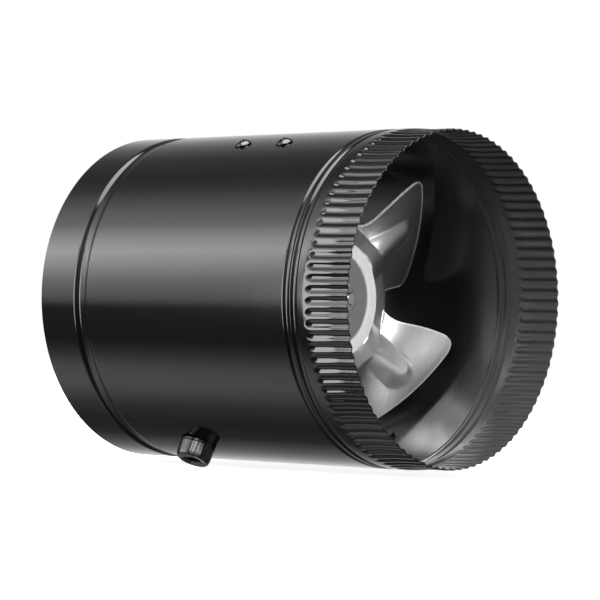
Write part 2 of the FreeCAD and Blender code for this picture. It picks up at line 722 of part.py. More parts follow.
def rivet_holes():
    return [rod("rivetRadius", "10", "floorPlace - 7", y, z) for y, z in rivet_places()]


def make_hub():
    back = "floorPlace - bladeSheet"
    hub = turned("hub_turning", [
        ("hubBack", "shaftRadius"), ("hubBack", "hubRadius"), ("%s - hubFlangeThick" % back, "hubRadius"),
        ("%s - hubFlangeThick" % back, "hubFlange"), (back, "hubFlange"), (back, "hubRadius"),
        ("hubFront - 0.8", "hubRadius"), ("hubFront", "hubRadius - 0.8"), ("hubFront", "shaftRadius")])
    angle = size("ribAngle") - 50
    tapped = stand(group([post("1.5", "shaftRadius - 1", "hubRadius + 3")]), size("setScrewPlace"), angle)
    rivets = []
    low = back + " - hubFlangeThick"
    for y, z in rivet_places():
        shank = rod("rivetRadius", "hubFlangeThick + bladeSheet", low, y, z)
        heads = [rod("rivetHead", "rivetCap", x, y, z) for x in (low + " - rivetCap", "floorPlace")]
        rivets.append(fuse(shank, *heads))
    keep(cut(hub, tapped, *rivet_holes()), "fan_hub")
    keep(group(rivets), "hub_rivets")
    grub = cut(post("1.5", "shaftRadius", "hubRadius + 1.5"), hexagon("1.6", "hubRadius", "hubRadius + 3"))
    keep(stand(group([grub]), size("setScrewPlace"), angle), "hub_set_screw")


def check_and_write():
    doc.recompute()
    bad = [item.Label for item in doc.Objects if "Invalid" in item.State or "Error" in item.State]
    if bad:
        raise RuntimeError("failed objects: " + ", ".join(bad))
    for piece in nodes:
        shape = piece.Shape
        if shape.isNull() or not shape.isValid() or not shape.Solids:
            raise RuntimeError("bad shape: " + piece.Label)
    os.makedirs("parts", exist_ok=True)
    for piece in nodes:
        piece.Shape.exportStep(os.path.join("parts", piece.Label + ".step"))
        shape = piece.Shape
        print("%-24s solids %d  volume %.0f mm3" % (piece.Label, len(shape.Solids), shape.Volume))


fill_sheet()
make_sleeve()
make_bracket()
make_bracket_fasteners()
make_grommets()
make_stator()
make_shading_rings()
make_coil()
make_bearings()
make_tie_screws()
make_rotor()
make_bushing()
make_wiring()
make_blades()
make_hub()
check_and_write()
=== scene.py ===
import json
import math
import bpy
import numpy as np
from mathutils import Matrix, Vector


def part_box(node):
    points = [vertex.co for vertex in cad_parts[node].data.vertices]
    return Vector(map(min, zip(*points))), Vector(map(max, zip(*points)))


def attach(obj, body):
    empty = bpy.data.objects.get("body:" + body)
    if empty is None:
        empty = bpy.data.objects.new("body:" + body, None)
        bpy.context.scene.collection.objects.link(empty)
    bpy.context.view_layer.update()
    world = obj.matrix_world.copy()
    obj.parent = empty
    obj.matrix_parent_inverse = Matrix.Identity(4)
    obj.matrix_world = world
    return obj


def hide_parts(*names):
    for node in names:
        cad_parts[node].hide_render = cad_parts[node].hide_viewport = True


# Inline duct fan. X runs along the duct from the plain inlet to the crimped outlet, Z is up,
# and -Y is the side with the two upper screws and the cord bushing. All sizes are metres.

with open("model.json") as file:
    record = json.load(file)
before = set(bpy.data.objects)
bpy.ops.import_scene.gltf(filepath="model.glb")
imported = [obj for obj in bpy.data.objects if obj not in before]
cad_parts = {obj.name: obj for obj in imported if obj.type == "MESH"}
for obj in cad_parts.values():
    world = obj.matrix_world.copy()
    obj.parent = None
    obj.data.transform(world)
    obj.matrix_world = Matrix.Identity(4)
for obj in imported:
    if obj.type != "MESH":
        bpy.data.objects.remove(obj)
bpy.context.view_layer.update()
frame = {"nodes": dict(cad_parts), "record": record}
nodes = frame["nodes"]
mm = 0.001

casing = "casing"
rotor = "rotor"
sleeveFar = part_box("duct_sleeve")[1]
ductRadius = sleeveFar.y
ductLength = sleeveFar.x
print("frame loaded:", len(nodes), "CAD nodes")


def gridFaces(rows, columns, wrapRows=False, wrapColumns=False, start=0):
    # quads of a grid whose vertices are numbered row by row
    r = np.arange(rows if wrapRows else rows - 1)[:, None]
    c = np.arange(columns if wrapColumns else columns - 1)[None, :]
    down = (r + 1) % rows
    right = (c + 1) % columns
    quads = np.stack(np.broadcast_arrays(r * columns + c, r * columns + right, down * columns + right,
                                         down * columns + c), axis=-1)
    return quads.reshape(-1, 4) + start


def signedVolume(points, faces):
    # six times the enclosed volume, as a fan of tetrahedra over every face
    total = 0.0
    for ring in faces:
        corners = points[ring]
        for i in range(1, corners.shape[1] - 1):
            across = np.cross(corners[:, i], corners[:, i + 1])
            total += np.einsum("ij,ij->i", corners[:, 0], across).sum()
    return total


def makePiece(name, points, faces, body, material, replaced=(), sharpDegrees=35, closed=True):
    # faces is a list of arrays, one array for each count of corners
    points = np.asarray(points, float).reshape(-1, 3)
    if closed and signedVolume(points, faces) < 0:
        faces = [ring[:, ::-1] for ring in faces]
    mesh = bpy.data.meshes.new(name)
    mesh.from_pydata(points.tolist(), [], [face for ring in faces for face in ring.tolist()])
    mesh.polygons.foreach_set("use_smooth", np.ones(len(mesh.polygons), bool))
    mesh.set_sharp_from_angle(angle=math.radians(sharpDegrees))
    mesh.materials.append(material)
    mesh.update()
    piece = bpy.data.objects.new(name, mesh)
    bpy.context.scene.collection.objects.link(piece)
    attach(piece, body)
    if replaced:
        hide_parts(*replaced)
    return piece


def ease(value):
    # smooth step from 0 to 1
    value = np.clip(value, 0.0, 1.0)
    return value * value * (3 - 2 * value)


def aroundX(x, radius, angle):
    # cylinder coordinates about the duct's axis, angle from +Y towards +Z
    x, radius, angle = np.broadcast_arrays(x, radius, angle)
    return np.stack([x, radius * np.cos(angle), radius * np.sin(angle)], axis=-1)


def standOnWall(points, x, degrees):
    # turns points drawn about +Z so that they stand on the duct's wall at this place and angle
    turn = math.radians(degrees - 90)
    y = points[..., 1] * math.cos(turn) - points[..., 2] * math.sin(turn)
    z = points[..., 1] * math.sin(turn) + points[..., 2] * math.cos(turn)
    return np.stack([points[..., 0] + x, y, z], axis=-1)


class Signal:
    # a node's output that takes part in ordinary maths
    def __init__(self, shader, socket):
        self.shader = shader
        self.socket = socket

    def maths(self, operation, first, second):
        return self.shader.add("ShaderNodeMath", {"operation": operation}, {0: first, 1: second})

    def __add__(self, other):
        return self.maths("ADD", self, other)

    def __sub__(self, other):
        return self.maths("SUBTRACT", self, other)

    def __rsub__(self, other):
        return self.maths("SUBTRACT", other, self)

    def __mul__(self, other):
        return self.maths("MULTIPLY", self, other)

    def __truediv__(self, other):
        return self.maths("DIVIDE", self, other)

    __radd__ = __add__
    __rmul__ = __mul__

    def between(self, low, high):
        # 0 below low, 1 above high, smooth in between
        return self.shader.add("ShaderNodeMapRange", {"interpolation_type": "SMOOTHSTEP"},
                               {"Value": self, "From Min": low, "From Max": high})


class Shader:
    # one material's node tree around a Principled BSDF
    def __init__(self, name):
        self.material = bpy.data.materials.new(name)
        self.material.use_nodes = True
        self.tree = self.material.node_tree
        self.surface = self.tree.nodes["Principled BSDF"]

    def add(self, kind, settings=None, inputs=None, output=0):
        node = self.tree.nodes.new(kind)
        for key, value in (settings or {}).items():
            if key == "stops":
                self.setStops(node.color_ramp, value)
            else:
                setattr(node, key, value)
        for key, value in (inputs or {}).items():
            self.feed(node.inputs[key], value)
        return Signal(self, node.outputs[output])

    def setStops(self, ramp, stops):
        while len(ramp.elements) < len(stops):
            ramp.elements.new(0.5)
        for element, (place, colour) in zip(ramp.elements, stops):
            element.position = place
            element.color = (*colour, 1.0)

    def feed(self, socket, value):
        if isinstance(value, Signal):
            self.tree.links.new(value.socket, socket)
        elif isinstance(value, tuple) and len(value) == 3 and socket.type == "RGBA":
            socket.default_value = (*value, 1.0)
        else:
            socket.default_value = value

    def coordinates(self):
        return self.add("ShaderNodeTexCoord", output="Object")

    def axis(self, letter):
        return self.add("ShaderNodeSeparateXYZ", {}, {"Vector": self.coordinates()}, letter)

    def noise(self, scale, detail=2.0, stretch=(1, 1, 1), roughness=0.5):
        place = self.add("ShaderNodeMapping", {}, {"Vector": self.coordinates(), "Scale": stretch})
        return self.add("ShaderNodeTexNoise", {}, {"Vector": place, "Scale": scale, "Detail": detail,
                                                   "Roughness": roughness})

    def mix(self, factor, first, second):
        return self.add("ShaderNodeMix", {"data_type": "RGBA"}, {0: factor, 6: first, 7: second}, 2)

    def acrossDuct(self):
        # this point's place measured from the duct's axis, with nothing along X
        return self.add("ShaderNodeVectorMath", {"operation": "MULTIPLY"},
                        {0: self.coordinates(), 1: (0, 1, 1)})

    def place(self, letter):
        # one coordinate of the piece's own UV map
        corner = self.add("ShaderNodeTexCoord", output="UV")
        return self.add("ShaderNodeSeparateXYZ", {}, {"Vector": corner}, letter)

    def finish(self, bump=None, distance=0.0001, strength=1.0, **inputs):
        for name, value in inputs.items():
            self.feed(self.surface.inputs[name.replace("_", " ")], value)
        if bump is not None:
            relief = self.add("ShaderNodeBump", {}, {"Height": bump, "Distance": distance,
                                                     "Strength": strength})
            self.feed(self.surface.inputs["Normal"], relief)
        return self.material


# the inside tone and its start, full and least places set a painted light on the inside of the outlet mouth
enamelLook = {
    "tone": 0.0028, "paintedMouthLightTone": 0.042, "paintedMouthLightStart": 0.125, "paintedMouthLightFull": 0.155, "paintedMouthLightLeast": 0.12,
    "roughness": 0.08, "dustTone": 0.03, "dustShare": 0.35,
}


def makeEnamel():
    # baked black enamel: faint orange peel, slow changes of gloss, fine dust, a duller coat inside, and
    # painted light on the inward faces that is full near the outlet mouth and fades deeper in
    look = enamelLook
    shader = Shader("glossBlackEnamel")
    cloud = shader.noise(38, 3)
    peel = shader.noise(900, 2)
    dust = shader.noise(5200, 1).between(0.70, 0.80)
    facing = shader.add("ShaderNodeNewGeometry", output="Normal")
    outward = shader.add("ShaderNodeVectorMath", {"operation": "DOT_PRODUCT"},
                         {0: shader.acrossDuct(), 1: facing}, "Value")
    # painted light: inward faces take a lighter tone, in full towards the outlet mouth where light falls in,
    # and only a small share of it deeper inside, which leaves painted shade behind the fan
    along = shader.axis("X").between(look["paintedMouthLightStart"], look["paintedMouthLightFull"])
    insidePaintedLightAndDull = (1 - outward.between(-0.01, 0.0)) * (along * (1 - look["paintedMouthLightLeast"]) + look["paintedMouthLightLeast"])
    tone = look["tone"]
    inside = look["paintedMouthLightTone"]
    # the lighter inside tone is painted light, not the coat's own colour; the added roughness inside is the
    # duller coat
    colour = shader.mix(insidePaintedLightAndDull, (tone, tone, tone * 1.05), (inside, inside, inside * 1.03))
    grey = look["dustTone"]
    colour = shader.mix(dust * look["dustShare"], colour, (grey, grey, grey + 0.001))
    return shader.finish(peel, 0.00002, 0.3, Base_Color=colour, Metallic=0.0,
                         Roughness=cloud * 0.05 + dust * 0.1 + insidePaintedLightAndDull * 0.1 + look["roughness"])


def makeMetal(name, colour, roughness, grain=(1, 1, 1), scale=400, spread=0.12, worn=(0.75, 0.75, 0.75)):
    # bare or plated metal: brushed grain along one axis, patches of duller skin
    shader = Shader(name)
    fine = shader.noise(scale, 3, grain)
    patch = shader.noise(55, 4)
    darker = tuple(part * 0.72 for part in colour)
    tint = shader.mix(patch.between(0.42, 0.68), colour, darker)
    tint = shader.mix(fine.between(0.55, 0.75) * 0.25, tint, worn)
    return shader.finish(fine, 0.00002, 0.5, Base_Color=tint, Metallic=1.0,
                         Roughness=fine * spread + patch * spread + (roughness - spread))


def makeLaminations():
    # a stack of half-millimetre steel sheets across X, lightly oiled, with patches of rust
    halfSheet = 0.25 * mm
    shader = Shader("laminatedSteel")
    along = shader.axis("X")
    sheets = shader.add("ShaderNodeMath", {"operation": "PINGPONG"}, {0: along, 1: halfSheet}) / halfSheet
    seam = 1 - sheets.between(0.0, 0.35)
    rust = shader.noise(130, 5).between(0.56, 0.72)
    steel = shader.mix(seam, (0.23, 0.235, 0.25), (0.03, 0.03, 0.03))
    tint = shader.mix(rust * 0.45, steel, (0.20, 0.09, 0.04))
    return shader.finish(sheets, 0.00012, 0.8, Base_Color=tint, Metallic=0.8, Roughness=rust * 0.25 + 0.34)


pressedLook = {
    "light": (0.86, 0.87, 0.88), "dark": (0.80, 0.81, 0.825), "floorColour": (0.2, 0.202, 0.208),
    "paleCutAndHighlight": (0.95, 0.95, 0.95), "floorEdge": (0.0205, 0.0218), "ringEdge": (0.0270, 0.0284),
    "roughness": 0.285,
}


def makePressedAluminium():
    # bright rolled sheet: long rolling lines across the blank, soft stretch marks from the press, a grey
    # floor and a satin ring round the hub, and near-white blade edges that are partly the paler sheared cut
    # and partly a painted highlight along the outline
    look = pressedLook
    shader = Shader("pressedAluminium")
    rolling = shader.noise(90, 3, (1, 9, 1.2), 0.5)
    stretch = shader.noise(70, 3)
    colour = shader.mix(rolling.between(0.3, 0.75), look["light"], look["dark"])
    radius = shader.add("ShaderNodeVectorMath", {"operation": "LENGTH"}, {0: shader.acrossDuct()}, "Value")
    floor = 1 - radius.between(*look["floorEdge"])
    colour = shader.mix(floor, colour, look["floorColour"])
    satin = 1 - radius.between(*look["ringEdge"])
    cutAndPaintedHighlight = shader.add("ShaderNodeAttribute", {"attribute_name": "shearedEdge"}, output="Fac")
    # painted highlight: the blade edges are painted near white, less metallic and rougher, partly the paler
    # sheared cut and partly a painted bright outline
    colour = shader.mix(cutAndPaintedHighlight, colour, look["paleCutAndHighlight"])
    dull = rolling * 0.05 + stretch * 0.06 + satin * 0.2 + cutAndPaintedHighlight * 0.15
    return shader.finish(stretch, 0.0001, 0.5, Base_Color=colour,
                         Metallic=1 - satin * 0.85 - cutAndPaintedHighlight * 0.6, Roughness=dull + look["roughness"])


def makeMoulding(name, colour, roughness, grain=1500):
    # moulded plastic or rubber: fine spark-eroded grain and slow changes of sheen
    shader = Shader(name)
    fine = shader.noise(grain, 2)
    cloud = shader.noise(60, 3)
    lighter = tuple(min(1.0, part * 1.25 + 0.004) for part in colour)
    tint = shader.mix(cloud.between(0.35, 0.7), colour, lighter)
    return shader.finish(fine, 0.00004, 0.4, Base_Color=tint, Roughness=cloud * 0.14 + (roughness - 0.07))


def makeFelt():
    # wool fibres drawn out along the piece, in two tones of oil
    shader = Shader("oiledFelt")
    fibre = shader.noise(1400, 4, (1, 2.5, 1))
    tint = shader.mix(fibre, (0.42, 0.34, 0.22), (0.72, 0.64, 0.48))
    return shader.finish(fibre, 0.0003, 1.0, Base_Color=tint, Roughness=fibre * 0.1 + 0.85)


def makeTape():
    # yellow polyester film, a little wrinkled, with slow changes of tone
    shader = Shader("polyesterTape")
    height = shader.noise(90, 3)
    tint = shader.mix(height.between(0.35, 0.7), (0.66, 0.46, 0.03), (0.52, 0.33, 0.02))
    return shader.finish(height, 0.0003, 0.5, Base_Color=tint, Roughness=height * 0.12 + 0.29)


enamel = makeEnamel()
blackSteel = makeMetal("blackOxide", (0.09, 0.09, 0.092), 0.2, scale=900, spread=0.06, worn=(0.4, 0.4, 0.4))
zinc = makeMetal("zincPlate", (0.58, 0.60, 0.63), 0.42)
laminated = makeLaminations()
dieCast = makeMetal("dieCastAlloy", (0.50, 0.51, 0.53), 0.5, scale=700)
aluminium = makePressedAluminium()
rivetAluminium = makeMetal("rivetAluminium", (0.86, 0.87, 0.88), 0.2, scale=900, spread=0.06)
bronze = makeMetal("sinteredBronze", (0.50, 0.34, 0.18), 0.5, scale=2200)
copper = makeMetal("enamelledCopper", (0.68, 0.27, 0.12), 0.37, (1, 1, 1), 500, 0.08, (0.8, 0.45, 0.3))
shaftSteel = makeMetal("groundSteel", (0.76, 0.77, 0.79), 0.2, (30, 1, 1), 300, 0.06)
blackNylon = makeMoulding("blackNylon", (0.005, 0.005, 0.0055), 0.19)
whiteNylon = makeMoulding("naturalNylon", (0.74, 0.71, 0.63), 0.42)
rubber = makeMoulding("blackRubber", (0.016, 0.016, 0.016), 0.68, 900)
felt = makeFelt()
tape = makeTape()
blackLead = makeMoulding("blackInsulation", (0.014, 0.014, 0.014), 0.42, 2500)
whiteLead = makeMoulding("whiteInsulation", (0.72, 0.72, 0.70), 0.4, 2500)

cadMaterials = {
    "black_enamel": enamel, "black_steel": blackSteel, "zinc_steel": zinc, "electrical_steel": laminated,
    "die_cast": dieCast, "fan_aluminium": aluminium, "bronze": bronze, "copper": copper,
    "ground_steel": shaftSteel, "black_nylon": blackNylon, "white_nylon": whiteNylon, "black_rubber": rubber,
    "felt": felt, "yellow_tape": tape, "lead_black": blackLead, "lead_white": whiteLead,
}
for subpart in frame["record"]["subparts"]:
    cadObject = nodes[subpart["node"]]
    cadObject.data.materials.clear()
    cadObject.data.materials.append(cadMaterials[subpart["material_slot"]])
nodes["hub_rivets"].data.materials[0] = rivetAluminium
print("materials made:", len(cadMaterials))


sleeve = {
    "wall": 0.6 * mm,
    "beadStart": 21.4 * mm, "beadWidth": 8.8 * mm, "beadDepth": 1.1 * mm, "beadShoulder": 0.36,
    "ringStarts": (149.4 * mm, 153.7 * mm), "ringWidth": 4.1 * mm, "ringDepth": 0.55 * mm,
    "taperStart": 160.3 * mm, "taperEnd": 176.0 * mm, "crimpStart": 161.3 * mm, "crimpDrop": 0.8 * mm,
    "crimpDepth": 0.74 * mm, "crimps": 96, "ridge": 0.08, "valley": 0.08, "grooveRunIn": 4.2 * mm,
    "startWidth": 0.78, "edge": 0.15 * mm, "columnsPerFlute": 12, "barrelColumnsPerFlute": 2,
}
# first place, last place and count of the rings in each stretch of the barrel and of the flutes
barrelStretches = [
    (sleeve["edge"], 20.9 * mm, 7), (21.2 * mm, 30.4 * mm, 24), (31 * mm, 149 * mm, 14),
    (149.3 * mm, 157.9 * mm, 38), (158.2 * mm, sleeve["crimpStart"], 9)]
fluteStretches = [
    (sleeve["crimpStart"], sleeve["crimpStart"] + 4.8 * mm, 13), (167.5 * mm, 177.5 * mm, 8),
    (180 * mm, ductLength - sleeve["edge"], 3)]


def ringPlaces(stretches):
    # evenly spaced places inside each stretch, all in one row
    return np.concatenate([np.linspace(first, last, count) for first, last, count in stretches])


def sleeveRadius(x):
    # outer radius along the duct: a flat-floored bead with eased flanks, two narrow rings that follow
    # a sine to the power 1.3, then an eased taper
    radius = np.full_like(x, ductRadius)
    bead = (x - sleeve["beadStart"]) / sleeve["beadWidth"]
    shoulder = sleeve["beadShoulder"]
    radius -= sleeve["beadDepth"] * ease(bead / shoulder) * ease((1 - bead) / shoulder)
    for start in sleeve["ringStarts"]:
        ring = (x - start) / sleeve["ringWidth"]
        curve = np.sin(math.pi * ring.clip(0, 1)) ** 1.3
        radius -= np.where((ring > 0) & (ring < 1), sleeve["ringDepth"] * curve, 0)
    taper = (x - sleeve["taperStart"]) / (sleeve["taperEnd"] - sleeve["taperStart"])
    return radius - sleeve["crimpDrop"] * ease(taper)


def crimpDrop(x, turn):
    # a flute's depth: a valley between two eased flanks, narrower and fading out where the flute starts
    part = turn % 1.0
    runIn = ease((x - sleeve["crimpStart"]) / sleeve["grooveRunIn"])
    flank = (1 - sleeve["ridge"] - sleeve["valley"]) / 2
    middle = sleeve["ridge"] + flank + sleeve["valley"] / 2
    away = np.abs(part - middle)
    width = sleeve["startWidth"] + (1 - sleeve["startWidth"]) * runIn
    half = (sleeve["valley"] / 2 + flank) * width
    return sleeve["crimpDepth"] * ease((half - away) / flank) * runIn


def makeSleeve():
    # one closed shell: coarse columns along the barrel, fine columns along the flutes,
    # joined by many-sided faces
    barrelX = ringPlaces(barrelStretches)
    fluteX = ringPlaces(fluteStretches)
    perFlute = sleeve["columnsPerFlute"]
    parts = np.arange(perFlute) / perFlute
    turns = (np.arange(sleeve["crimps"])[:, None] + parts[None, :]).ravel()
    coarseTurns = turns[::perFlute // sleeve["barrelColumnsPerFlute"]]
    fineAngle = turns * 2 * math.pi / sleeve["crimps"]
    coarseAngle = coarseTurns * 2 * math.pi / sleeve["crimps"]
    wall = sleeve["wall"]
    rim = sleeve["edge"]

    outerBarrel = aroundX(barrelX[:, None], sleeveRadius(barrelX)[:, None], coarseAngle[None, :])
    innerBarrel = aroundX(barrelX[::-1, None], sleeveRadius(barrelX)[::-1, None] - wall, coarseAngle[None, :])
    mouthRadii = np.array([[ductRadius - wall + rim], [ductRadius - rim]])
    mouth = aroundX(np.zeros((2, 1)), mouthRadii, coarseAngle[None, :])

    outerFlute = sleeveRadius(fluteX)[:, None] - crimpDrop(fluteX[:, None], turns[None, :])
    innerFlute = outerFlute[::-1] - wall
    lip = outerFlute[-1:]
    lipRadius = np.concatenate([lip - rim, lip - wall + rim])
    fluteRows = np.concatenate([
        aroundX(fluteX[:, None], outerFlute, fineAngle[None, :]),
        aroundX(np.full((2, 1), ductLength), lipRadius, fineAngle[None, :]),
        aroundX(fluteX[::-1, None], innerFlute, fineAngle[None, :])])

    coarse = len(coarseAngle)
    fine = len(fineAngle)
    outerCount = len(barrelX) * coarse
    fluteCount = fluteRows.shape[0] * fine
    insideRows = np.concatenate([innerBarrel, mouth])

    def stitch(coarseStart, fineStart):
        # each barrel column meets a fixed number of flute columns
        step = fine // coarse
        j = np.arange(coarse)
        ring = [coarseStart + j, coarseStart + (j + 1) % coarse]
        ring += [fineStart + (j * step + k) % fine for k in range(step, -1, -1)]
        return np.stack(ring, axis=-1)

    quads = [gridFaces(len(barrelX), coarse, wrapColumns=True),
             gridFaces(fluteRows.shape[0], fine, wrapColumns=True, start=outerCount),
             gridFaces(insideRows.shape[0], coarse, wrapColumns=True, start=outerCount + fluteCount)]
    j = np.arange(coarse)
    lastRow = outerCount + fluteCount + (insideRows.shape[0] - 1) * coarse
    quads.append(np.stack([lastRow + j, lastRow + (j + 1) % coarse, (j + 1) % coarse, j], axis=-1))
    joins = [stitch(outerCount - coarse, outerCount),
             stitch(outerCount + fluteCount, outerCount + fluteCount - fine)[:, ::-1]]
    points = np.concatenate([rows.reshape(-1, 3) for rows in (outerBarrel, fluteRows, insideRows)])
    makePiece("sleeveShell", points, [np.concatenate(quads), np.concatenate(joins)], casing, enamel,
              ["duct_sleeve"], 40)


makeSleeve()
print("sleeve made")


fan = {
    "floorX": 114.2 * mm, "rimX": 115.2 * mm, "flangeX": 111.6 * mm, "holeRadius": 7.0 * mm,
    "rimInner": 21.4 * mm, "rimOuter": 27.3 * mm, "rootRadius": 37.5 * mm,
    "tipRadius": 68.6 * mm, "blades": 5, "ribAngle": 35, "leadDegrees": 28.0, "trailDegrees": 23.2,
    "leadFlare": 5, "trailFlare": 8, "rise": 5.6 * mm, "pitchPerDegree": 0.70 * mm, "sheet": 0.9 * mm,
    "ribHeight": 2.7 * mm, "ribHalfRoot": 10.5 * mm, "ribHalfEnd": 7.6 * mm, "ribEnd": 55.5 * mm,
    "corner": 5.0 * mm, "cornerShare": 0.22, "columns": 360, "bladeRows": 48, "edgeRound": 0.32 * mm,
}
# first radius, last radius and count of the rings in each stretch of the dish
dishStretches = [
    (fan["holeRadius"], 20.6 * mm, 8), (21.0 * mm, 22.4 * mm, 9), (23.0 * mm, 26.2 * mm, 4),
    (26.5 * mm, 28.8 * mm, 13), (29.3 * mm, fan["rootRadius"], 11)]


def ribHeight(radius, degrees):
    # a rounded bar along each blade's middle line: raised cosine across, half round at its outer end
    across = radius * np.radians(np.abs(degrees))
    run = np.clip((radius - fan["rimOuter"]) / (fan["ribEnd"] - fan["rimOuter"]), 0, 1)
    half = fan["ribHalfRoot"] + (fan["ribHalfEnd"] - fan["ribHalfRoot"]) * run
    away = np.hypot(across, np.maximum(0, radius - fan["ribEnd"])) / half
    return fan["ribHeight"] * (0.5 + 0.5 * np.cos(math.pi * np.clip(away, 0, 1))) ** 0.75


def dishX(radius):
    # front face of the dish: flat floor, raised flat rim with eased shoulders, then the root flange
    up = ease((radius - (fan["rimInner"] - 0.5 * mm)) / (1.1 * mm))
    down = ease((radius - (fan["rimOuter"] - 0.7 * mm)) / (1.9 * mm))
    level = fan["floorX"] + (fan["rimX"] - fan["floorX"]) * up
    return level + (fan["flangeX"] - fan["rimX"]) * down


def bladeX(radius, degrees):
    # helix about the rib that flattens towards the root
    reach = np.clip((radius - fan["rootRadius"]) / (fan["tipRadius"] - fan["rootRadius"]), 0, 1)
    return fan["flangeX"] + fan["rise"] * reach + fan["pitchPerDegree"] * reach ** 0.8 * degrees


def makeFan():
    # one sheet: rings of the dish out to the root circle, then five tongues that start on that circle
    dishRadii = ringPlaces(dishStretches)
    columns = fan["columns"]
    degrees = np.arange(columns) * 360 / columns
    between = 360 / fan["blades"]
    fromRib = (degrees - fan["ribAngle"] + between / 2) % between - between / 2
    grow = ease((dishRadii - 27.2 * mm) / (2.0 * mm))
    height = dishX(dishRadii)[:, None] + ribHeight(dishRadii[:, None], fromRib[None, :]) * grow[:, None]
    points = [aroundX(height, dishRadii[:, None], np.radians(degrees)[None, :]).reshape(-1, 3)]
    faces = [gridFaces(len(dishRadii), columns, wrapColumns=True)]
    rootRow = (len(dishRadii) - 1) * columns
    count = len(dishRadii) * columns

    low = -round(fan["leadDegrees"] + fan["leadFlare"])
    high = round(fan["trailDegrees"] + fan["trailFlare"])
    across = np.arange(low, high + 1)
    share = (across - low) / (high - low)
    rows = fan["bladeRows"]
    run = np.linspace(0, 1, rows + 1)[1:, None] ** 1.15
    side = np.abs(2 * share - 1)
    cornerPart = np.clip((side - (1 - fan["cornerShare"])) / fan["cornerShare"], 0, 1)
    tip = fan["tipRadius"] - fan["corner"] * (1 - np.sqrt(1 - cornerPart ** 2))
    radius = fan["rootRadius"] + run * (tip[None, :] - fan["rootRadius"])
    past = radius - fan["rootRadius"]
    whole = np.clip(past / (fan["tipRadius"] - fan["rootRadius"]), 0, 1)
    lead = -fan["leadDegrees"] - (-low - fan["leadDegrees"]) * np.exp(-past / (1.4 * mm))
    trail = fan["trailDegrees"] + (high - fan["trailDegrees"]) * np.exp(-past / (2.2 * mm))
    trail = trail + 1.6 * np.sin(math.pi * whole) - 1.2 * whole
    angle = lead + (trail - lead) * share[None, :]
    blade = bladeX(radius, angle) + ribHeight(radius, angle)
    width = len(across)
    # the blades' outer edges, which carry the pale cut and the painted edge highlight
    border = np.zeros((rows, width))
    border[:, [0, -1]] = 1.0
    border[-1, :] = 1.0
    for number in range(fan["blades"]):
        centre = fan["ribAngle"] + number * between
        points.append(aroundX(blade, radius, np.radians(angle + centre)).reshape(-1, 3))
        faces.append(gridFaces(rows, width, start=count))
        root = rootRow + (int(centre) + across) % columns
        first = count + np.arange(width)
        faces.append(np.stack([root[:-1], root[1:], first[1:], first[:-1]], axis=-1))
        count += rows * width
    piece = makePiece("fanPressing", np.concatenate(points), [np.concatenate(faces)], rotor, aluminium,
                      ["fan_blade"], 50, closed=False)
    shine = piece.data.attributes.new("shearedEdge", "FLOAT", "POINT")
    shine.data.foreach_set("value", np.concatenate([np.zeros(len(dishRadii) * columns)]
                                                   + [border.ravel()] * fan["blades"]))
    thick = piece.modifiers.new("sheet", "SOLIDIFY")
    thick.thickness = fan["sheet"]
    thick.offset = -1
    thick.use_even_offset = False
    edge = piece.modifiers.new("edge", "BEVEL")
    edge.width = fan["edgeRound"]
    edge.segments = 3
    edge.limit_method = "ANGLE"
    edge.angle_limit = math.radians(60)


makeFan()
print("fan made")


screw = {
    "places": (83.9 * mm, 109.0 * mm), "angles": (114.5, 294.5), "headRadius": 3.9 * mm,
    "headHeight": 2.2 * mm, "crossHalf": 2.4 * mm, "crossWide": 0.62 * mm, "crossDeep": 1.3 * mm,
    "shankRadius": 1.95 * mm,
    "shankFloor": 70.6 * mm, "crossTurn": 28, "crossTurnStep": 41, "columns": 96,
}


def makeScrews():
    # a head is a surface over radius and angle: a flattened dome less a cross-shaped well
    radii = ringPlaces([(0.02 * mm, 2.5 * mm, 22), (2.62 * mm, screw["headRadius"], 12)])
    columns = screw["columns"]
    turn = np.arange(columns) * 2 * math.pi / columns
    r = radii[:, None]
    x = r * np.cos(turn)[None, :]
    y = r * np.sin(turn)[None, :]
    dome = screw["headHeight"] * (1 - (r / screw["headRadius"]) ** 2.2 * 0.7)
    arm = np.minimum(np.abs(x), np.abs(y)) - screw["crossWide"] * (1.25 - 0.5 * r / screw["crossHalf"])
    well = ease(-arm / (0.16 * mm)) * ease((screw["crossHalf"] - r) / (0.45 * mm))
    top = dome - screw["crossDeep"] * well
    head = np.stack([x, y, np.broadcast_to(ductRadius + top, x.shape)], axis=-1)
    shank = screw["shankRadius"]
    tip = screw["shankFloor"] - ductRadius
    # radius and height above the wall of each ring below the head's edge
    skirt = [(screw["headRadius"], 0.25 * mm), (screw["headRadius"] - 0.2 * mm, 0.0), (shank, 0.0),
             (shank, tip + 0.5 * mm), (shank - 0.5 * mm, tip)]
    rings = [np.stack([reach * np.cos(turn), reach * np.sin(turn), np.full(columns, ductRadius + level)],
                      axis=-1) for reach, level in skirt]
    single = np.concatenate([head, np.stack(rings)])
    rows = single.shape[0]
    points = []
    quads = []
    caps = []
    for angle in screw["angles"]:
        for number, place in enumerate(screw["places"]):
            start = len(points) * rows * columns
            spin = math.radians(screw["crossTurn"] + screw["crossTurnStep"] * number + angle)
            turned = np.stack([single[..., 0] * math.cos(spin) - single[..., 1] * math.sin(spin),
                               single[..., 0] * math.sin(spin) + single[..., 1] * math.cos(spin),
                               single[..., 2]], axis=-1)
            points.append(standOnWall(turned, place, angle).reshape(-1, 3))
            quads.append(gridFaces(rows, columns, wrapColumns=True, start=start))
            caps.append(start + np.arange(columns)[::-1])
            caps.append(start + (rows - 1) * columns + np.arange(columns))
    makePiece("bracketScrews", np.concatenate(points), [np.concatenate(quads), np.stack(caps)], casing,
              blackSteel, ["bracket_screws"], 38)


makeScrews()
print("screws made")


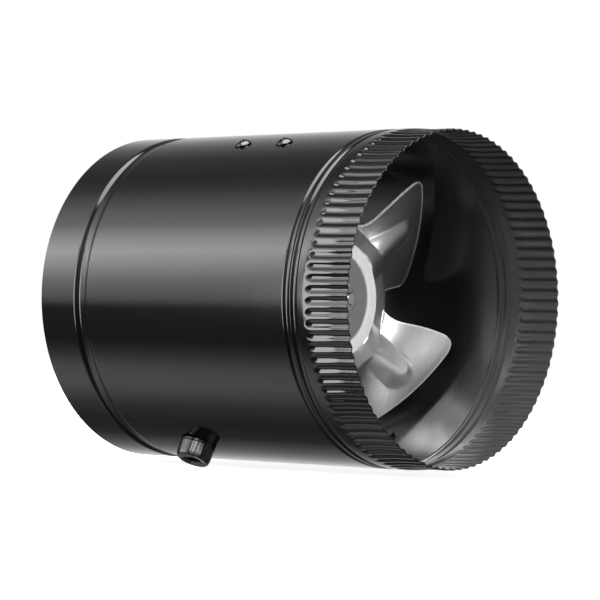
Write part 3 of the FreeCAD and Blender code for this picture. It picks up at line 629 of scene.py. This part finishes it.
bushing = {
    "place": 62.8 * mm, "angle": 243, "head": 8.4 * mm, "lip": 1.6 * mm, "neck": 8.2 * mm, "out": 8.4 * mm,
    "barrel": 6.3 * mm, "inside": 8.0 * mm, "slotLong": 4.0 * mm, "slotWide": 2.7 * mm, "ribs": 48,
    "ribDepth": 0.1 * mm, "columns": 192, "slotPower": 4.0,
}


def makeBushing():
    # rings carried along a closed profile; the profile's last part is the slot, a squared oval
    columns = bushing["columns"]
    turn = np.arange(columns) * 2 * math.pi / columns
    power = bushing["slotPower"]
    slot = ((np.abs(np.cos(turn)) / bushing["slotLong"]) ** power
            + (np.abs(np.sin(turn)) / bushing["slotWide"]) ** power) ** (-1 / power)
    out = bushing["out"]
    lip = bushing["lip"]
    head = bushing["head"]
    neck = bushing["neck"]
    # each ring: round radius, height above the wall, share of the slot's shape, share of the ribs
    rings = [
        (bushing["barrel"], 0.0, 0, 0), (head - 0.3 * mm, 0.0, 0, 0), (head, 0.3 * mm, 0, 0),
        (head, lip - 0.4 * mm, 0, 0), (head - 0.4 * mm, lip, 0, 0), (neck, lip, 0, 0),
        (neck, lip + 0.5 * mm, 0, 1),
        (neck - 0.15 * mm, out - 2.0 * mm, 0, 1), (neck - 0.25 * mm, out - 1.6 * mm, 0, 0),
        (neck - 0.5 * mm, out - 0.5 * mm, 0, 0), (neck - 1.0 * mm, out, 0, 0), (0, out, 1.25, 0),
        (0, out - 0.4 * mm, 1.05, 0), (0, out - 1.0 * mm, 1, 0), (0, -bushing["inside"] + 0.5 * mm, 1, 0),
        (0, -bushing["inside"], 1.1, 0), (bushing["barrel"] - 0.6 * mm, -bushing["inside"], 0, 0),
        (bushing["barrel"], -bushing["inside"] + 0.8 * mm, 0, 0)]
    wave = 0.5 + 0.5 * np.cos(turn * bushing["ribs"])
    rows = []
    for radius, level, oval, ribbed in rings:
        reach = radius - bushing["ribDepth"] * ribbed * wave + oval * slot
        height = np.full(columns, ductRadius + level)
        rows.append(np.stack([reach * np.cos(turn), reach * np.sin(turn), height], axis=-1))
    points = standOnWall(np.stack(rows), bushing["place"], bushing["angle"])
    faces = gridFaces(len(rings), columns, wrapRows=True, wrapColumns=True)
    makePiece("cordBushing", points, [faces], casing, blackNylon,
              ["strain_relief_bushing"], 32)


makeBushing()
print("bushing made")


stage = {
    "floorSize": 40.0, "floorGlow": 0.86, "glowFall": (0.5, 1.6), "ambient": 0.03,
    "coveRadius": 2.2, "coveHalf": 5.0, "coveStrength": 6.1, "coveColumns": 180,
    "panelAim": (0.12, 0, 0), "lens": 168.1, "distance": 1.158, "yaw": 41.303, "pitch": -0.897, "roll": 1.254,
    "target": (0.18278, -0.10254, -0.00285),
}
# centre, width, height, strength and full share of each flat soft light
panels = {
    "lowPanel": ((1.66, 0.25, -1.08), 2.4, 1.5, 1.7, 0.2),
    "mouthPanel": ((1.84, -0.49, 0.62), 1.0, 0.8, 15.0, 0.42),
    "ceilingPanel": ((0.35, -0.2, 1.9), 2.4, 2.2, 7.0, 0.38),
    "stripPanel": ((-0.80, -1.6, 0.1), 0.6, 1.6, 9.0, 0.4),
    "cameraPanel": ((0.85, -1.5, 0.95), 0.8, 0.8, 14.0, 0.4),
}
# light level of the cove against the angle about the duct's axis, from the back (+Y) up over the top
coveStops = [(0, 0.95), (26, 0.78), (47, 0.42), (67, 0.19), (88, 0.15), (99, 0.28), (110, 0.8), (129, 2.0),
             (139, 4.2), (149, 6.1), (160, 4.2), (170, 2.4), (182, 1.3), (188, 0.12), (212, 0.10),
             (221, 0.38), (232, 0.92), (244, 0.97), (262, 0.3), (277, 0.12), (295, 0.12), (315, 0.42),
             (335, 0.85), (360, 0.95)]
# share of that level against the place along the cove, from its inlet end to its outlet end
coveAlong = [(0, 1.0), (0.43, 1.0), (0.49, 0.12), (0.62, 0.12), (0.72, 0.5), (1.0, 0.5)]


def glowMaterial(name, light):
    # light gives the colour and the strength of the glow for this material's shader
    shader = Shader(name)
    colour, strength = light(shader)
    glow = shader.add("ShaderNodeEmission", {}, {"Color": colour, "Strength": strength})
    shader.tree.nodes.remove(shader.surface)
    shader.tree.links.new(glow.socket, shader.tree.nodes["Material Output"].inputs["Surface"])
    return shader.material


def stagePiece(name, points, faces, material, corners=None):
    mesh = bpy.data.meshes.new(name)
    mesh.from_pydata(np.asarray(points).reshape(-1, 3).tolist(), [], np.asarray(faces).tolist())
    if corners is not None:
        layer = mesh.uv_layers.new(name="UVMap").data
        layer.foreach_set("uv", np.asarray(corners, float).ravel())
    mesh.materials.append(material)
    piece = bpy.data.objects.new(name, mesh)
    bpy.context.scene.collection.objects.link(piece)
    return piece


def coveLight(shader):
    # one ramp of grey round the duct for the colour, and one along it for the strength
    top = stage["coveStrength"]
    around = [(angle / 360, (level / top, level / top, level / top)) for angle, level in coveStops]
    along = [(at, (level, level, level)) for at, level in coveAlong]
    colour = shader.add("ShaderNodeValToRGB", {"stops": around}, {"Fac": shader.place("X")})
    share = shader.add("ShaderNodeValToRGB", {"stops": along}, {"Fac": shader.place("Y")})
    return colour, top * share


def makeCove():
    # a wide tube of light round the duct's axis: brightest in front above the horizon, dark overhead
    columns = stage["coveColumns"]
    turn = np.linspace(0, 2 * math.pi, columns + 1)
    ends = np.array([-stage["coveHalf"], stage["coveHalf"]])
    points = aroundX(ends[:, None], stage["coveRadius"], turn[None, :])
    faces = gridFaces(2, columns + 1)
    share = np.tile(np.arange(columns + 1) / columns, 2)
    corners = np.stack([share[faces], np.repeat([[0, 0, 1, 1]], len(faces), axis=0)], axis=-1)
    cove = stagePiece("lightCove", points, faces, glowMaterial("coveGlow", coveLight), corners)
    cove.visible_camera = False


def makePanel(name, centre, width, height, strength, core):
    # a flat soft light: full inside the core's share of its size, then a smooth fall to nothing at its edge
    def light(shader):
        place = shader.add("ShaderNodeTexCoord", output="UV")
        away = shader.add("ShaderNodeVectorMath", {"operation": "DISTANCE"},
                          {0: place, 1: (0.5, 0.5, 0)}, "Value")
        return shader.mix(1 - away.between(core, 0.5), (0, 0, 0), (1, 1, 1)), strength
    middle = Vector(centre)
    turned = (Vector(stage["panelAim"]) - middle).to_track_quat("Z", "Y").to_matrix()
    corners = [(-0.5, -0.5), (0.5, -0.5), (0.5, 0.5), (-0.5, 0.5)]
    points = [middle + turned @ Vector((x * width, y * height, 0)) for x, y in corners]
    panel = stagePiece(name, points, [(0, 1, 2, 3)], glowMaterial(name + "Glow", light),
                       [(x + 0.5, y + 0.5) for x, y in corners])
    panel.visible_camera = False


def makeFloor():
    # a wide pale plane under the lowest node, which glows a little less near the object
    lowest = min(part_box(name)[0].z for name in nodes)
    size = stage["floorSize"]
    shader = Shader("paleFloor")
    away = shader.add("ShaderNodeVectorMath", {"operation": "LENGTH"}, {0: shader.coordinates()}, "Value")
    near = stage["floorGlow"]
    glow = shader.mix(away.between(*stage["glowFall"]), (near, near, near), (1.0, 1.0, 1.0))
    material = shader.finish(Base_Color=shader.mix(shader.noise(3, 2), (0.86, 0.86, 0.86), (0.9, 0.9, 0.9)),
                             Roughness=0.9, Emission_Color=glow, Emission_Strength=1.0)
    points = [(-size, -size, lowest), (size, -size, lowest), (size, size, lowest), (-size, size, lowest)]
    floor = stagePiece("floor", points, [(0, 1, 2, 3)], material)
    floor.visible_glossy = False
    floor.visible_diffuse = False
    floor.visible_shadow = False


def makeWorld():
    # white behind the object, nearly dark for everything that lights or mirrors in it
    world = bpy.data.worlds.new("studio")
    bpy.context.scene.world = world
    world.use_nodes = True
    tree = world.node_tree
    path = tree.nodes.new("ShaderNodeLightPath")
    level = tree.nodes.new("ShaderNodeMapRange")
    level.inputs["To Min"].default_value = stage["ambient"]
    level.inputs["To Max"].default_value = 1.0
    tree.links.new(path.outputs["Is Camera Ray"], level.inputs["Value"])
    background = tree.nodes["Background"]
    background.inputs["Color"].default_value = (1, 1, 1, 1)
    tree.links.new(level.outputs["Result"], background.inputs["Strength"])


def makeStage():
    makeFloor()
    makeWorld()
    makeCove()
    for name, settings in panels.items():
        makePanel(name, *settings)


def makeCamera():
    yaw = math.radians(stage["yaw"])
    pitch = math.radians(stage["pitch"])
    roll = math.radians(stage["roll"])
    back = Vector((math.sin(yaw) * math.cos(pitch), -math.cos(yaw) * math.cos(pitch), math.sin(pitch)))
    right = Vector((0, 0, 1)).cross(back).normalized()
    up = back.cross(right)
    data = bpy.data.cameras.new("camera")
    data.lens = stage["lens"]
    data.sensor_width = 36.0
    camera = bpy.data.objects.new("camera", data)
    side = right * math.cos(roll) + up * math.sin(roll)
    rise = up * math.cos(roll) - right * math.sin(roll)
    turned = Matrix((side, rise, back)).transposed().to_4x4()
    place = Vector(stage["target"]) + back * stage["distance"]
    camera.matrix_world = Matrix.Translation(place) @ turned
    bpy.context.scene.collection.objects.link(camera)
    bpy.context.scene.camera = camera


makeStage()
makeCamera()
bpy.context.scene.view_settings.view_transform = "Standard"
print("stage made")
